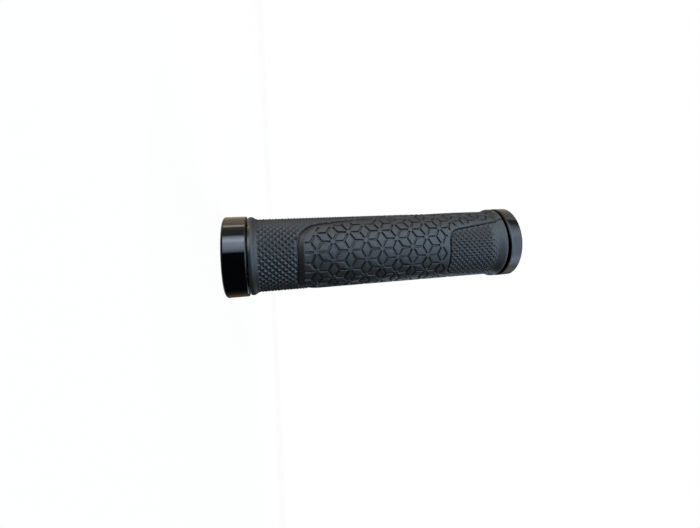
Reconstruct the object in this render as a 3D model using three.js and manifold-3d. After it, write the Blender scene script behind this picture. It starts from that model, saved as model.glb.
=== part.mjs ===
// A lock-on handlebar grip: a rubber sleeve on a hard core tube, held to the bar by two split rings.
// Millimetres. The grip's axis is +Z. The origin is the centre of the wide ring's outer face.
// Angles round the grip are in degrees, from -Y towards +X.
import * as THREE from 'three';
import { mergeVertices } from 'three/addons/utils/BufferGeometryUtils.js';
import Module from 'manifold-3d';

const wasm = await Module();
wasm.setup();

// Bar and overall size
const BAR_D = 22.2;
const GRIP_LENGTH = 130;
const FACETS = 48;

// Clearances
const RING_BORE_FIT = 0.1;
const CORE_BORE_FIT = 0.3;
const SEAT_GAP = 0.2;
const END_GAP = 0.3;

// Clamp rings
const RING_WALL = 5.35;
const WIDE_RING_WIDTH = 9;
const NARROW_RING_WIDTH = 6.3;
const RING_EDGE = 0.8;
const RING_SLEEVE_EDGE = 0.45;
const RING_MOUTH = 0.4;
const SPLIT_WIDTH = 1.5;
const SPLIT_ANGLE = 150;

// Clamp bolts, socket cap screws
const BOLT_D = 2.5;
const BOLT_LENGTH = 8;
const BOLT_POINT = 0.3;
const HEAD_D = 4.5;
const HEAD_HEIGHT = 2.5;
const HEX_KEY = 2;
const HEX_DEPTH = 1.3;
const BOLT_ABOVE_BORE = 2.45;
const HEAD_SEAT_FROM_SPLIT = 2.2;
const BOLT_END_ROOM = 0.5;

// Core tube
const CORE_WALL = 1.5;
const DOG_COUNT = 3;
const DOG_LENGTH = 2.4;
const DOG_ARC = 24;
const DOG_SIDE_GAP = 1.5;

// Rubber sleeve, with a bead by the wide ring and a flared flange by the narrow one
const SLEEVE_GAP_WIDE = 0.5;
const SLEEVE_GAP_NARROW = 1.4;
const RUBBER_WALL = 1.65;
const BEAD_SET_IN = 0.3;
const BEAD_ROUND = 0.6;
const BEAD_TOP = 1.2;
const BEAD_LENGTH = 3.3;
const FLANGE_SET_IN = 0.1;
const FLANGE_ROUND = 0.5;
const FLANGE_TOP = 1.7;
const FLARE_LENGTH = 1.2;
const FLARE_RISE = 0.35;
const FLANGE_LENGTH = 4.6;
const UNDER_KNURL = 0.3;

// Diamond knurl on the sleeve
const KNURL_HEIGHT = 0.6;
const KNURL_COUNT = 28;
const KNURL_PITCH = 3.24;
const KNURL_MARGIN = 0.2;

// Raised panel on the sleeve
const PANEL_RISE = 0.8;
const PANEL_FACETS = 24;
const PANEL_MIDDLE = 20;
const PANEL_STEP = 7.5;
const PANEL_SINK = 0.05;
const PANEL_TRIM = 0.02;
const PANEL_SHOULDER = 2.3;
const PANEL_START = 28.2;
const PANEL_CORNER_R = 11.8;
const PANEL_HALF_WIDTH = 19.6;
const PANEL_FLARE = 0.16;

// Knurled window at the panel's far end
const WINDOW_LENGTH = 28.3;
const WINDOW_CORNER_R = 6;
const WINDOW_HALF_WIDTH = 12.6;
const WINDOW_FLARE = 0.18;
const WINDOW_SHOULDER = 0.9;

// Star grooves on the panel: Y-shaped grooves that stop short of each star's middle
const STARS_ROUND = 12;
const STAR_PITCH = 6.78;
const FIRST_STAR = 7;
const STAR_FIELD_INSET = 3;
const STAR_WINDOW_INSET = 1.9;
const STAR_FLANGE_INSET = 1.2;
const STAR_BARE_MIDDLE = 1.1;
const GROOVE_WIDTH = 0.8;
const GROOVE_DEPTH = 0.65;
const GROOVE_END_SLOPE = 0.3;
const CUTTER_LIFT = 0.3;

// Sizes that follow
const ringBoreR = (BAR_D + RING_BORE_FIT) / 2;
const ringR = ringBoreR + RING_WALL;
const coreInR = (BAR_D + CORE_BORE_FIT) / 2;
const coreOutR = coreInR + CORE_WALL;
const sleeveInR = coreOutR + SEAT_GAP;
const rootR = sleeveInR + RUBBER_WALL;
const tipR = rootR + KNURL_HEIGHT;
const panelR = rootR + PANEL_RISE;
const beadR = ringR - BEAD_SET_IN;
const flangeR = ringR - FLANGE_SET_IN;
const narrowRingStart = GRIP_LENGTH - NARROW_RING_WIDTH;
const sleeveStart = WIDE_RING_WIDTH + SLEEVE_GAP_WIDE;
const sleeveEnd = narrowRingStart - SLEEVE_GAP_NARROW;
const beadEnd = sleeveStart + BEAD_LENGTH;
const flangeStart = sleeveEnd - FLANGE_LENGTH;
const firstStar = PANEL_START + FIRST_STAR;
const buryR = sleeveInR + UNDER_KNURL;

const RAD = Math.PI / 180;

// The point at an angle round the grip, a radius and a height
function onGrip(angle, radius, z) {
  return [radius * Math.sin(angle * RAD), -radius * Math.cos(angle * RAD), z];
}

// Distance round the panel from its middle line
function fromMiddle(angle) {
  const turn = ((angle - PANEL_MIDDLE + 540) % 360) - 180;
  return turn * panelR * RAD;
}

// A solid from a closed mesh, with its shared points merged
function solidFromGeometry(geometry) {
  const bare = geometry.clone();
  bare.deleteAttribute('normal');
  bare.deleteAttribute('uv');
  const merged = mergeVertices(bare, 1e-4);
  const index = merged.index.array;
  const kept = [];
  for (let i = 0; i < index.length; i += 3) {
    const [a, b, c] = [index[i], index[i + 1], index[i + 2]];
    if (a !== b && b !== c && c !== a) kept.push(a, b, c);
  }
  return new wasm.Manifold(new wasm.Mesh({
    numProp: 3,
    vertProperties: new Float32Array(merged.attributes.position.array),
    triVerts: new Uint32Array(kept),
  }));
}

function solidFromArrays(positions, indices) {
  const geometry = new THREE.BufferGeometry();
  geometry.setAttribute('position', new THREE.BufferAttribute(new Float32Array(positions), 3));
  geometry.setIndex(indices);
  return solidFromGeometry(geometry);
}

function geometryFromSolid(solid) {
  const mesh = solid.getMesh();
  const geometry = new THREE.BufferGeometry();
  geometry.setAttribute('position', new THREE.BufferAttribute(mesh.vertProperties, 3));
  geometry.setIndex(new THREE.BufferAttribute(mesh.triVerts, 1));
  geometry.computeVertexNormals();
  return geometry;
}

// A turned solid about +Z from a closed profile of [radius, z] points
function turned(profile, facets = FACETS) {
  const points = profile.map(([r, z]) => new THREE.Vector2(r, z));
  points.push(points[0].clone());
  const geometry = new THREE.LatheGeometry(points, facets);
  geometry.rotateX(Math.PI / 2);
  return solidFromGeometry(geometry);
}

function cylinder(radius, length, facets) {
  const geometry = new THREE.CylinderGeometry(radius, radius, length, facets);
  geometry.rotateX(Math.PI / 2);
  geometry.translate(0, 0, length / 2);
  return geometry;
}

// A sector of a thick ring, between two angles, two radii and two heights
function sector(fromAngle, toAngle, inR, outR, zLow, zHigh) {
  const steps = Math.ceil((toAngle - fromAngle) / (360 / FACETS));
  const step = (toAngle - fromAngle) / steps;
  const angles = Array.from({ length: steps + 1 }, (_, i) => fromAngle + step * i);
  const outer = angles.map((angle) => onGrip(angle, outR, 0));
  const inner = angles.map((angle) => onGrip(angle, inR, 0)).reverse();
  const shape = new THREE.Shape([...outer, ...inner].map(([x, y]) => new THREE.Vector2(x, y)));
  const geometry = new THREE.ExtrudeGeometry(shape, { depth: zHigh - zLow, bevelEnabled: false });
  geometry.translate(0, 0, zLow);
  return solidFromGeometry(geometry);
}

// Closed sections in (z, radius), each at its own angle, skinned into one solid
function skinned(sections) {
  const count = sections[0].points.length;
  const positions = [];
  for (const { angle, points } of sections) {
    for (const [z, radius] of points) positions.push(...onGrip(angle, radius, z));
  }
  const indices = [];
  for (let s = 0; s + 1 < sections.length; s += 1) {
    for (let i = 0; i < count; i += 1) {
      const j = (i + 1) % count;
      const [a, b] = [s * count + i, s * count + j];
      const [c, d] = [a + count, b + count];
      indices.push(a, c, b, b, c, d);
    }
  }
  const last = (sections.length - 1) * count;
  for (let i = 1; i + 1 < count; i += 1) {
    indices.push(0, i, i + 1);
    indices.push(last, last + i + 1, last + i);
  }
  return solidFromArrays(positions, indices);
}

// Where the drive dogs stand, clear of the split
function dogAngles() {
  const spacing = 360 / (DOG_COUNT + 1);
  return Array.from({ length: DOG_COUNT }, (_, i) => SPLIT_ANGLE + spacing * (i + 1));
}

// The bolt's own frame: +Z runs from the head seat along the shank, across the split
function boltFrame(zMiddle) {
  const tangent = new THREE.Vector3(Math.cos(SPLIT_ANGLE * RAD), Math.sin(SPLIT_ANGLE * RAD), 0);
  const seat = new THREE.Vector3(...onGrip(SPLIT_ANGLE, ringBoreR + BOLT_ABOVE_BORE, zMiddle));
  seat.addScaledVector(tangent, HEAD_SEAT_FROM_SPLIT);
  const along = tangent.negate();
  const up = new THREE.Vector3(0, 0, 1);
  const side = new THREE.Vector3().crossVectors(up, along);
  return new THREE.Matrix4().makeBasis(side, up, along).setPosition(seat);
}

// A split ring, with pockets for the dogs in the face that looks at the sleeve, a smaller bevel
// round that face, and a bevelled mouth at the bore's outer end. sleeveSide is 1 where the sleeve
// lies above the ring, and -1 where it lies below.
function clampRing(zLow, width, sleeveSide) {
  const zHigh = zLow + width;
  const mouthLow = sleeveSide > 0 ? RING_MOUTH : 0;
  const mouthHigh = RING_MOUTH - mouthLow;
  const edgeLow = sleeveSide > 0 ? RING_EDGE : RING_SLEEVE_EDGE;
  const edgeHigh = RING_EDGE + RING_SLEEVE_EDGE - edgeLow;
  let ring = turned([
    [ringBoreR + mouthLow, zLow],
    [ringR - edgeLow, zLow],
    [ringR, zLow + edgeLow],
    [ringR, zHigh - edgeHigh],
    [ringR - edgeHigh, zHigh],
    [ringBoreR + mouthHigh, zHigh],
    [ringBoreR, zHigh - mouthHigh],
    [ringBoreR, zLow + mouthLow],
  ]);

  const pocketDepth = DOG_LENGTH + END_GAP;
  const pocketLow = sleeveSide > 0 ? zHigh - pocketDepth : zLow - 1;
  const pocketHigh = sleeveSide > 0 ? zHigh + 1 : zLow + pocketDepth;
  const halfArc = DOG_ARC / 2 + DOG_SIDE_GAP;
  const pocketR = coreOutR + SEAT_GAP;
  for (const angle of dogAngles()) {
    const [from, to] = [angle - halfArc, angle + halfArc];
    ring = ring.subtract(sector(from, to, ringBoreR - 1, pocketR, pocketLow, pocketHigh));
  }

  const slit = new THREE.BoxGeometry(SPLIT_WIDTH, ringR, width + 2);
  slit.translate(0, -(ringBoreR + ringR) / 2, zLow + width / 2);
  slit.rotateZ(SPLIT_ANGLE * RAD);
  ring = ring.subtract(solidFromGeometry(slit));

  const frame = boltFrame(zLow + width / 2);
  const shankHole = cylinder(BOLT_D / 2 + SEAT_GAP, BOLT_LENGTH + BOLT_END_ROOM, 12);
  const headPocket = cylinder(HEAD_D / 2 + SEAT_GAP, ringR, 20);
  headPocket.translate(0, 0, -ringR);
  ring = ring.subtract(solidFromGeometry(shankHole.applyMatrix4(frame)));
  ring = ring.subtract(solidFromGeometry(headPocket.applyMatrix4(frame)));
  return geometryFromSolid(ring);
}

// A socket cap screw, seated a little off the bottom of its pocket
function clampBolt(zMiddle) {
  const r = BOLT_D / 2;
  const headR = HEAD_D / 2;
  let bolt = turned([
    [0, -HEAD_HEIGHT],
    [headR - BOLT_POINT, -HEAD_HEIGHT],
    [headR, -HEAD_HEIGHT + BOLT_POINT],
    [headR, 0],
    [r, 0],
    [r, BOLT_LENGTH - BOLT_POINT],
    [r - BOLT_POINT, BOLT_LENGTH],
    [0, BOLT_LENGTH],
  ], 16);
  const socket = cylinder(HEX_KEY / Math.sqrt(3), HEX_DEPTH + 1, 6);
  socket.translate(0, 0, -HEAD_HEIGHT - 1);
  bolt = bolt.subtract(solidFromGeometry(socket));
  const frame = boltFrame(zMiddle).multiply(new THREE.Matrix4().makeTranslation(0, 0, -END_GAP));
  return geometryFromSolid(bolt).applyMatrix4(frame);
}

// The core tube, with its ends cut back between the dogs
function coreTube() {
  const bodyLow = WIDE_RING_WIDTH + END_GAP;
  const bodyHigh = narrowRingStart - END_GAP;
  const zLow = bodyLow - DOG_LENGTH;
  const zHigh = bodyHigh + DOG_LENGTH;
  let tube = turned([[coreInR, zLow], [coreOutR, zLow], [coreOutR, zHigh], [coreInR, zHigh]]);
  const angles = dogAngles();
  angles.forEach((angle, i) => {
    const next = i + 1 < angles.length ? angles[i + 1] : angles[0] + 360;
    const from = angle + DOG_ARC / 2;
    const to = next - DOG_ARC / 2;
    tube = tube.subtract(sector(from, to, coreInR - 1, coreOutR + 1, zLow - 1, bodyLow));
    tube = tube.subtract(sector(from, to, coreInR - 1, coreOutR + 1, bodyHigh, zHigh + 1));
  });
  return geometryFromSolid(tube);
}

// Outlines of the sleeve's two ends, as [radius, z]
const beadProfile = [
  [beadR - BEAD_ROUND, sleeveStart],
  [beadR, sleeveStart + BEAD_ROUND],
  [beadR, sleeveStart + BEAD_TOP],
  [(beadR + tipR) / 2, sleeveStart + (BEAD_TOP + BEAD_LENGTH) / 2],
  [tipR, beadEnd],
];
const flangeProfile = [
  [tipR, flangeStart],
  [tipR + FLARE_RISE, flangeStart + FLARE_LENGTH],
  [flangeR, sleeveEnd - FLANGE_TOP],
  [flangeR, sleeveEnd - FLANGE_ROUND],
  [flangeR - FLANGE_ROUND, sleeveEnd],
];

// The sleeve's turned body, a little under the knurl's valleys between its ends
function sleeveBody() {
  return turned([
    [sleeveInR, sleeveStart],
    ...beadProfile,
    [rootR - UNDER_KNURL, beadEnd + UNDER_KNURL],
    [rootR - UNDER_KNURL, flangeStart - UNDER_KNURL],
    ...flangeProfile,
    [sleeveInR, sleeveEnd],
  ]);
}

// Height at which a round-cornered, flared outline starts, at a distance round the grip from its
// middle. A positive inset draws the outline in, and a negative one lets it out.
function outlineStart(distance, start, halfWidth, cornerR, flare, inset) {
  const tilt = Math.atan(flare);
  const centreAcross = halfWidth - cornerR;
  const centreUp = start + cornerR;
  const r = cornerR - inset;
  const across = Math.abs(distance);
  const turnAcross = centreAcross + r * Math.cos(tilt);
  if (across <= centreAcross) return centreUp - r;
  if (across <= turnAcross) return centreUp - Math.sqrt(r * r - (across - centreAcross) ** 2);
  return centreUp - r * Math.sin(tilt) + (across - turnAcross) / flare;
}

function panelStart(distance, inset) {
  return outlineStart(distance, PANEL_START, PANEL_HALF_WIDTH, PANEL_CORNER_R, PANEL_FLARE, inset);
}

function windowStart(distance, inset) {
  const start = sleeveEnd - WINDOW_LENGTH;
  return outlineStart(distance, start, WINDOW_HALF_WIDTH, WINDOW_CORNER_R, WINDOW_FLARE, inset);
}

// Angles of sections all round the panel, in line with the rows of stars or shifted from them
function panelAngles(shift = 0) {
  const steps = Math.round(360 / PANEL_STEP);
  const first = Math.ceil((PANEL_MIDDLE - 180) / PANEL_STEP);
  return Array.from({ length: steps }, (_, i) => (first + i) * PANEL_STEP + shift);
}

// The raised panel, with a sloped shoulder all round, trimmed to flat facets in line with the stars
function raisedPanel() {
  const end = flangeStart + FLANGE_LENGTH / 2;
  const foot = rootR - PANEL_SINK;
  const over = panelR + PANEL_TRIM;
  const sections = [];
  for (const angle of panelAngles()) {
    const distance = fromMiddle(angle);
    const low = panelStart(distance, 0);
    if (low >= end - 1) continue;
    const crest = panelStart(distance, PANEL_SHOULDER);
    const lowTop = Math.min(crest, end);
    const topR = foot + (over - foot) * Math.min(1, (end - low) / (crest - low));
    const high = Math.min(windowStart(distance, 0), end);
    const highTop = Math.min(windowStart(distance, -WINDOW_SHOULDER), end);
    const highR = high < end ? foot : topR;
    const top = [[low, foot], [lowTop, topR], [highTop, topR], [high, highR]];
    sections.push({ angle, points: [[low, buryR], ...top, [high, buryR]] });
  }
  const low = PANEL_START - 1;
  const high = end + 1;
  const profile = [[sleeveInR, low], [panelR, low], [panelR, high], [sleeveInR, high]];
  return skinned(sections).intersect(turned(profile, PANEL_FACETS));
}

// Radius of the panel's outer surface at a height, up the flare of the flange and over its crest
function panelSurface(z) {
  const height = Math.min(z, sleeveEnd - FLANGE_ROUND);
  for (let i = 0; i + 1 < flangeProfile.length; i += 1) {
    const [[belowR, belowZ], [aboveR, aboveZ]] = [flangeProfile[i], flangeProfile[i + 1]];
    if (height >= belowZ && height <= aboveZ) {
      return Math.max(panelR, belowR + (aboveR - belowR) * (height - belowZ) / (aboveZ - belowZ));
    }
  }
  return panelR;
}

// The space over the panel that holds the star grooves, with its sections between the rows of stars
function starField() {
  const end = sleeveEnd - STAR_FLANGE_INSET;
  const sections = [];
  for (const angle of panelAngles(PANEL_STEP / 2)) {
    const distance = fromMiddle(angle);
    const low = panelStart(distance, STAR_FIELD_INSET);
    const high = Math.min(windowStart(distance, -STAR_WINDOW_INSET), end);
    if (low >= high - 1) continue;
    const over = ringR + 1;
    sections.push({ angle, points: [[low, buryR], [low, over], [high, over], [high, buryR]] });
  }
  return skinned(sections);
}

// Whether any of a groove's reach lies in the star field
function grooveInField(angle, z) {
  const across = Math.abs(fromMiddle(angle));
  const reach = STAR_PITCH * 2 / 3 - STAR_BARE_MIDDLE;
  if (z - reach > sleeveEnd - STAR_FLANGE_INSET) return false;
  if (z + reach < panelStart(Math.max(0, across - reach), STAR_FIELD_INSET)) return false;
  return z - reach < windowStart(across + reach, -STAR_WINDOW_INSET);
}

// A Y-shaped cutter with V-shaped arms, which point at the middles of three neighbouring stars.
// direction is 1 where the single arm points down the grip, and -1 where it points up.
function starGroove(angle, z, direction) {
  const mmPerDegree = panelR * RAD;
  const side = 180 / STARS_ROUND * mmPerDegree;
  const stars = [[-STAR_PITCH * 2 / 3, 0], [STAR_PITCH / 3, side], [STAR_PITCH / 3, -side]];
  const arms = stars.map(([up, across]) => {
    const length = Math.hypot(up, across);
    return { up: up / length, across: across / length, length: length - STAR_BARE_MIDDLE };
  });
  const topR = (z + STAR_PITCH > flangeStart ? flangeR : panelR) + CUTTER_LIFT;
  const floorR = (up) => panelSurface(z + direction * up) - GROOVE_DEPTH;
  const topHalf = (up) => GROOVE_WIDTH / 2 * (topR - floorR(up)) / GROOVE_DEPTH;
  const positions = [];
  const place = (up, across, radius) => {
    const angleHere = angle + direction * across / mmPerDegree;
    positions.push(...onGrip(angleHere, radius, z + direction * up));
  };
  place(0, 0, topR);
  place(0, 0, floorR(0));
  const indices = [];
  arms.forEach(({ up, across, length }, i) => {
    const next = arms[(i + 1) % arms.length];
    const half = topHalf(up * length);
    place(up * length - across * half, across * length + up * half, topR);
    place(up * length + across * half, across * length - up * half, topR);
    const between = Math.acos(up * next.up + across * next.across);
    const crotch = new THREE.Vector2(up + next.up, across + next.across);
    crotch.setLength(topHalf(0) / Math.sin(between / 2));
    place(crotch.x, crotch.y, topR);
    const floorLength = length - GROOVE_END_SLOPE;
    place(up * floorLength, across * floorLength, floorR(up * floorLength));
    const before = 4 + ((i + arms.length - 1) % arms.length) * 4;
    const right = 2 + i * 4;
    const [left, crook, floor] = [right + 1, right + 2, right + 3];
    indices.push(0, before, right, 0, right, left, 0, left, crook);
    indices.push(1, right, before, 1, floor, right, floor, left, right);
    indices.push(1, left, floor, 1, crook, left);
  });
  return solidFromArrays(positions, indices);
}

// All the star grooves that reach the star field, cut off at its edge
function starGrooves() {
  const rowStep = 360 / STARS_ROUND;
  const columns = Math.ceil((sleeveEnd - firstStar) / STAR_PITCH);
  let grooves = null;
  for (let column = -2; column <= columns; column += 1) {
    const shift = column % 2 === 0 ? 0 : rowStep / 2;
    for (let row = 0; row < STARS_ROUND; row += 1) {
      for (const direction of [1, -1]) {
        const angle = shift + row * rowStep;
        const z = firstStar + (column + direction * 2 / 3) * STAR_PITCH;
        if (!grooveInField(angle, z)) continue;
        const groove = starGroove(angle, z, direction);
        grooves = grooves ? grooves.add(groove) : groove;
      }
    }
  }
  return grooves.intersect(starField());
}

// Whether a knurl tip stands clear of the bead, the flange and the panel's edges
function tipStands(angle, z) {
  const rise = KNURL_PITCH / 2;
  const reach = 180 / KNURL_COUNT * panelR * RAD + KNURL_MARGIN;
  if (z - rise < beadEnd || z + rise > flangeStart + KNURL_MARGIN) return false;
  const across = Math.abs(fromMiddle(angle));
  const belowEdge = z + rise + KNURL_MARGIN < panelStart(across, 0);
  const besideEdge = z < panelStart(Math.max(0, across - reach), 0);
  const aboveEdge = z - rise - KNURL_MARGIN > windowStart(across, 0);
  return (belowEdge && besideEdge) || (aboveEdge && z > windowStart(across + reach, 0));
}

// The knurl: a staggered grid of tips and valleys round the sleeve, with the tips left out
// under the panel and beside its edges
function knurlSkin() {
  const half = 180 / KNURL_COUNT;
  const rise = KNURL_PITCH / 2;
  const columns = 2 * KNURL_COUNT;
  const start = beadEnd - KNURL_MARGIN;
  const rows = Math.ceil((flangeStart + KNURL_MARGIN - start) / rise);
  const positions = [];
  const indices = [];
  const at = (i, j) => j * columns + ((i + columns) % columns);
  for (let j = 0; j <= rows; j += 1) {
    for (let i = 0; i < columns; i += 1) {
      const z = start + j * rise;
      const stands = (i + j) % 2 === 1 && tipStands(i * half, z);
      positions.push(...onGrip(i * half, stands ? tipR : rootR, z));
    }
  }
  const inner = positions.length / 3;
  for (const z of [start, start + rows * rise]) {
    for (let i = 0; i < columns; i += 1) positions.push(...onGrip(i * half, buryR, z));
  }
  for (let j = 0; j <= rows; j += 1) {
    for (let i = (j + 1) % 2; i < columns; i += 2) {
      const [tip, right, left] = [at(i, j), at(i + 1, j), at(i - 1, j)];
      if (j < rows) indices.push(tip, right, at(i, j + 1), tip, at(i, j + 1), left);
      if (j > 0) indices.push(tip, left, at(i, j - 1), tip, at(i, j - 1), right);
    }
  }
  for (let i = 0; i < columns; i += 1) {
    const next = (i + 1) % columns;
    const [low, lowNext] = [at(i, 0), at(next, 0)];
    const [high, highNext] = [at(i, rows), at(next, rows)];
    const [inLow, inLowNext] = [inner + i, inner + next];
    const [inHigh, inHighNext] = [inLow + columns, inLowNext + columns];
    indices.push(low, inLow, lowNext, lowNext, inLow, inLowNext);
    indices.push(high, highNext, inHigh, highNext, inHighNext, inHigh);
    indices.push(inLow, inHigh, inLowNext, inLowNext, inHigh, inHighNext);
  }
  return solidFromArrays(positions, indices);
}

function rubberSleeve() {
  const [below, above] = [sleeveStart - 1, sleeveEnd + 1];
  const bore = turned([[0, below], [sleeveInR, below], [sleeveInR, above], [0, above]]);
  const outside = sleeveBody().add(knurlSkin()).add(raisedPanel());
  return geometryFromSolid(outside.subtract(starGrooves()).subtract(bore));
}

// Finishes
const rubber = new THREE.MeshStandardMaterial({ color: 0x2b2d2e, roughness: 0.75, metalness: 0 });
const nylon = new THREE.MeshStandardMaterial({ color: 0x0c0c0d, roughness: 0.6, metalness: 0 });
const anodised = new THREE.MeshStandardMaterial({ color: 0x0d0d10, roughness: 0.15, metalness: 0.9 });
const boltSteel = new THREE.MeshStandardMaterial({ color: 0x141416, roughness: 0.35, metalness: 0.9 });

function part(name, geometry, material) {
  const mesh = new THREE.Mesh(geometry, material);
  mesh.name = name;
  return mesh;
}

const group = new THREE.Group();
const wideMiddle = WIDE_RING_WIDTH / 2;
const narrowMiddle = narrowRingStart + NARROW_RING_WIDTH / 2;
group.add(part('rubber_sleeve', rubberSleeve(), rubber));
group.add(part('core_tube', coreTube(), nylon));
group.add(part('wide_clamp_ring', clampRing(0, WIDE_RING_WIDTH, 1), anodised));
group.add(part('narrow_clamp_ring', clampRing(narrowRingStart, NARROW_RING_WIDTH, -1), anodised));
group.add(part('wide_ring_bolt', clampBolt(wideMiddle), boltSteel));
group.add(part('narrow_ring_bolt', clampBolt(narrowMiddle), boltSteel));

export default group;
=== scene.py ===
"""A lock-on handlebar grip, standing on its wide clamp ring.

Sizes are in millimetres until an object is made. The lights' places and sizes are in metres.
"""
import math

import bmesh
import bpy
import numpy as np
from mathutils import Euler, Matrix, Vector
from mathutils.geometry import delaunay_2d_cdt


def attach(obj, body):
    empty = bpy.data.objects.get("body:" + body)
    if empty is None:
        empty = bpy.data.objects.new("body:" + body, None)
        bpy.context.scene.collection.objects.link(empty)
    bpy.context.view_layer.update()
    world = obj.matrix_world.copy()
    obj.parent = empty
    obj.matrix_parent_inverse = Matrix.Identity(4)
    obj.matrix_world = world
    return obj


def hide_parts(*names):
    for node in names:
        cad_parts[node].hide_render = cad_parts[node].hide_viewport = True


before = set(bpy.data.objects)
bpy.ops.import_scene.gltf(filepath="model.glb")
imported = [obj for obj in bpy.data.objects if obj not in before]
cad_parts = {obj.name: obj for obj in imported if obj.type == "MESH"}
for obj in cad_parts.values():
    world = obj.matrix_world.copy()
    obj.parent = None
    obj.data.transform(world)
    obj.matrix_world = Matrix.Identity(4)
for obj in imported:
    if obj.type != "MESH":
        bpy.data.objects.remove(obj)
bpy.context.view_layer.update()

MM = 0.001

# Bar, rings and core
RING_BORE_R = 11.15
RING_R = 16.5
RING_BEVEL = 0.8
RING_SLEEVE_BEVEL = 0.4
RING_MOUTH = 0.4
RING_BLIND_MOUTH = 0.12
RING_FACE_SOFTNESS = 0.2
RING_RIM_SOFTNESS = 0.25
GRIP_LENGTH = 130
WIDE_RING_WIDTH = 9
NARROW_RING_WIDTH = 6.3
SPLIT_WIDTH = 1.5
SPLIT_ANGLE = 150
SPLIT_REACH = (8, 20)
CORE_IN_R = 11.25
CORE_OUT_R = 12.75
CORE_EDGE = 0.15
DOG_COUNT = 3
DOG_LENGTH = 2.4
DOG_ARC = 24
DOG_SIDE_GAP = 1.5
END_GAP = 0.3
SEAT_GAP = 0.2

# Clamp bolts
BOLT_R = 1.25
BOLT_LENGTH = 8
HEAD_R = 2.25
HEAD_HEIGHT = 2.5
HEAD_EDGE = 0.3
UNDER_HEAD_EDGE = 0.1
TIP_EDGE = 0.3
HEX_ACROSS = 2
HEX_DEPTH = 1.3
BOLT_FROM_AXIS = 13.6
BOLT_HOLE_EXTRA = 0.5
HEAD_SEAT_FROM_SPLIT = 2.2

# Rubber sleeve
SLEEVE_START = 9.5
SLEEVE_END = 122.6
SLEEVE_IN_R = 12.95
MOUTH_CHAMFER = 0.3
ROOT_R = 14.7
PANEL_R = 15.4
SEAM_COLUMNS = 72

# Sleeve ends, as (height, radius)
BEAD = [(9.54, 15.98), (9.64, 16.04), (9.9, 16.13), (10.3, 16.2), (10.7, 16.22), (11.0, 16.16),
        (11.4, 15.95), (11.9, 15.6), (12.35, 15.36), (12.7, 15.26), (12.85, 15.2), (13.2, ROOT_R)]
BEAD_END_R = 15.85
FLANGE = [(116.4, ROOT_R), (117.2, 14.78), (117.9, 14.98), (118.5, 15.3), (119.1, 15.72), (119.6, 16.04),
          (120.1, 16.28), (120.7, 16.4), (121.9, 16.4), (122.3, 16.28), (122.5, 16.12)]
LIP_R = 15.9
WINDOW_FLANGE = [(114.8, ROOT_R), (116.0, 14.78), (117.1, 14.93), (118.2, 15.14), (119.3, 15.4),
                 (120.3, 15.67), (121.2, 15.9), (121.9, 16.06), (122.3, 16.08), (122.5, 16.0)]
WINDOW_LIP_R = 15.85

# Diamond knurl, and the slopes at which it sinks away beside its edges and towards its far end
KNURL_STEP_ANGLE = 5
KNURL_STEP_UP = 1.26
KNURL_FIRST = 12.8
KNURL_END = 119
KNURL_HEIGHT = 0.5
KNURL_BLUNT = 0.16
KNURL_FROM_PANEL = 0.6
KNURL_FROM_WALL = 0.25
KNURL_EDGE_SLOPE = 2
KNURL_END_SLOPE = 0.3

# Raised panel and the knurled window at its far end, as (start, half width, corner radius, flare)
PANEL_MIDDLE = 20
PANEL = (28.2, 19.6, 11.8, 0.16)
WINDOW = (94.0, 12.6, 6.0, 0.18)
WINDOW_FLOOR_INSET = 0.5
FLANGE_WALL_INSET = 0.4
FLANGE_WALL_SLOPE = 2

# Rise of the panel beside its own edge and beside the window's, as (distance onto it, rise)
SHOULDER = [(-0.65, 0.0), (-0.52, -0.75), (-0.22, -0.75), (0.0, -0.3), (0.3, -0.1), (1.2, 0.28),
            (2.05, 0.64), (2.2, 0.69), (2.35, 0.7), (2.5, 0.7)]
WINDOW_WALL = [(-0.35, 0.0), (-0.24, -0.6), (0.08, -0.6), (0.45, 0.35), (0.7, 0.63), (1.1, 0.7)]
TRENCH_DEPTH = -min(rise for _, rise in SHOULDER)
TRENCH_FADE = (FLANGE[0][0], FLANGE[2][0])

# Star grooves, and their section as (distance from the middle line, depth)
STARS_ROUND = 12
STAR_PITCH = 6.78
FIRST_STAR = 35.2
FIELD_INSET = 2.55
WINDOW_INSET = 1.9
FLANGE_INSET = 1.2
BARE_MIDDLE = 1.35
ARM_SAMPLES = 61
GROOVE_MARGIN = 0.2
SHORTEST_ARM = 0.5
SHORTEST_GROOVE = 1.6
GROOVE = [(0.2, 0.75), (0.45, 0.1), (0.57, 0.0)]
GROOVE_SEARCH = 6
FAR_AWAY = 9.0

# The unrolled plan
PLAN_DIGITS = 4
PLAN_SLACK = 1e-6
PLAN_TOLERANCE = 1e-5
PLAN_MARGIN = 0.6
OUTLINE_STEP = 0.6
PLATEAU_STEP_ANGLE = 2.5
PLATEAU_STEP_UP = 0.9
PLATEAU_FROM_EDGE = 3.5
PLATEAU_FROM_WINDOW = 2.4
PLATEAU_FROM_GROOVE = 0.75

# Facets round each turned piece, and the overlap of a cutter
RING_SEGMENTS = 180
TUBE_SEGMENTS = 144
BOLT_SEGMENTS = 48
HOLE_SEGMENTS = 32
CUT_OVERLAP = 1

# Distances, in metres, at which points become one
SEAM_WELD = 2e-6
CUT_WELD = 1e-7
AXIS_WELD = 1e-8

# Faces that meet at more than this many degrees keep a sharp edge
SHARP_ANGLE = 30

MM_PER_DEGREE = PANEL_R * math.radians(1)
HALF_ROUND = 180 * MM_PER_DEGREE
ARM_UP = STAR_PITCH / 3
ARM_ACROSS = 180 / STARS_ROUND * MM_PER_DEGREE


def on_grip(angle, radius, z):
    """The point at an angle round the grip, from -Y towards +X, in millimetres."""
    turn = math.radians(angle)
    return Vector((radius * math.sin(turn), -radius * math.cos(turn), z))


# Sleeve surface, in distance round the grip from the panel's middle and height

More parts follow.
